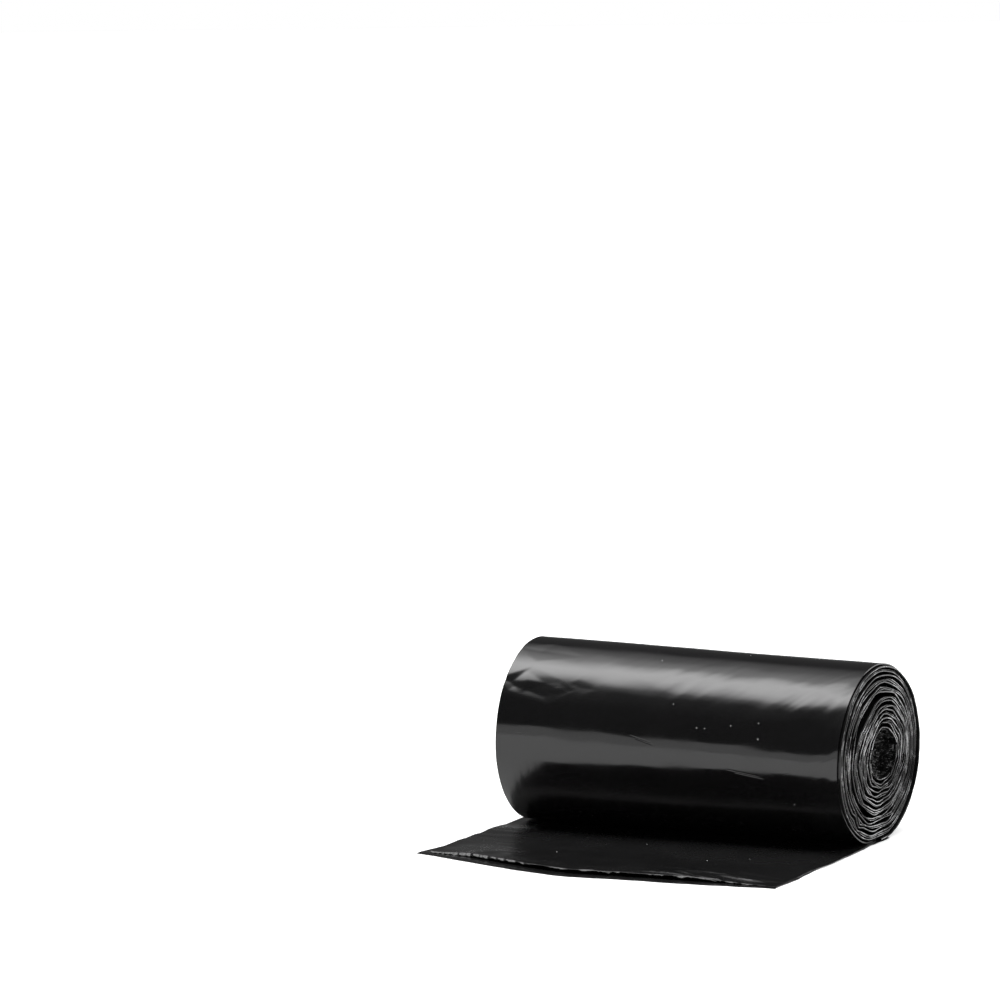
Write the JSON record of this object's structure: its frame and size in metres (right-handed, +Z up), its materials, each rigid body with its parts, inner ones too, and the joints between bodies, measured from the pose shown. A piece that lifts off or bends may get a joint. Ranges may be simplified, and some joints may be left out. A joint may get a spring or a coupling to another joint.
{
  "type": "bin bag roll",
  "caption": "Coreless roll of black plastic bin bags lying on its side, wound in turns, with the loose end laid out flat in front of it.",
  "frame": {"origin": "on the surface the roll rests on, under the roll's axis, halfway along the roll", "axes": "+X along the roll's axis, -Y towards the free edge of the loose end, +Z up"},
  "size_m": [0.303, 0.2674, 0.1374],
  "materials": {
    "film": "semi-gloss black polythene film, creased and slightly dusty"
  },
  "bodies": {
    "root": {"bag_roll": "film"}
  },
  "joints": []
}
